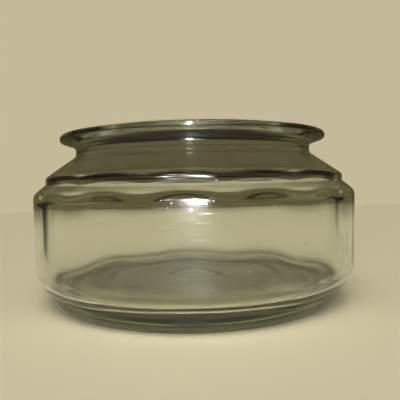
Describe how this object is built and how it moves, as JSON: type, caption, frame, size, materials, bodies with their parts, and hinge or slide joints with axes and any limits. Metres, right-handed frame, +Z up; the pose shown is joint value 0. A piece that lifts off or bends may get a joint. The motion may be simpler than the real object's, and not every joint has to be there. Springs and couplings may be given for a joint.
{
  "type": "glass dish",
  "caption": "Squat wide-mouthed clear glass dish with a flared lip, short neck, sloping shoulder with pressed panels, upright wall and inset foot.",
  "frame": {"origin": "centre of the circle that the foot stands on, at the bottom of the dish", "axes": "+Z up along the axis of the dish, out of its mouth; +X and +Y each point at the ridge between two pressed panels"},
  "size_m": [0.1899, 0.1898, 0.096],
  "materials": {
    "clear_glass": "fire-polished clear glass with a faint green tint and fine wear"
  },
  "bodies": {
    "root": {"glass_dish": "clear_glass"}
  },
  "joints": []
}
